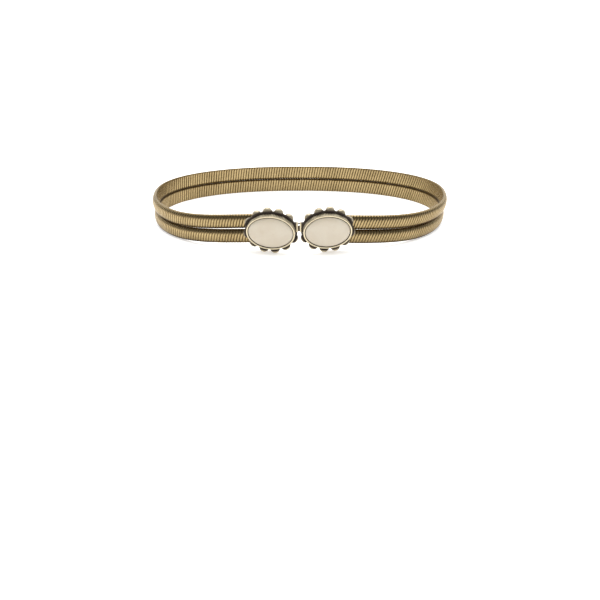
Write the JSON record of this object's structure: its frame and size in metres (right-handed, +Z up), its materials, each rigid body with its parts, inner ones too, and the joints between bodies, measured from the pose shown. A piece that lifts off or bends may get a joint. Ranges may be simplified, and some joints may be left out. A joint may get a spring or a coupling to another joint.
{
  "type": "stretch coil belt",
  "caption": "Closed two-strand stretch coil belt in antique gold with twin oval cabochon medallions and a flat hook clasp, standing on its edge.",
  "frame": {"origin": "on the surface the belt stands on, under the middle of its box", "axes": "+X to the right seen from the front, +Y from the medallions to the back of the waist, +Z up"},
  "size_m": [0.2686, 0.1864, 0.0405],
  "materials": {
    "coil_antique_gold": "antique gold plated spring coil, satin, dark between the turns",
    "cast_antique_gold": "cast and polished pale antique gold, blackened in the recesses",
    "cream_cabochon": "polished cream resin cabochon",
    "clasp_metal": "plain antique gold sheet metal, satin"
  },
  "bodies": {
    "root": {"coil_upper": "coil_antique_gold", "coil_lower": "coil_antique_gold", "setting_left": "cast_antique_gold", "stone_left": "cream_cabochon", "end_cap_left": "clasp_metal", "setting_right": "cast_antique_gold", "stone_right": "cream_cabochon", "end_cap_right": "clasp_metal", "clasp_hook": "clasp_metal"}
  },
  "joints": []
}
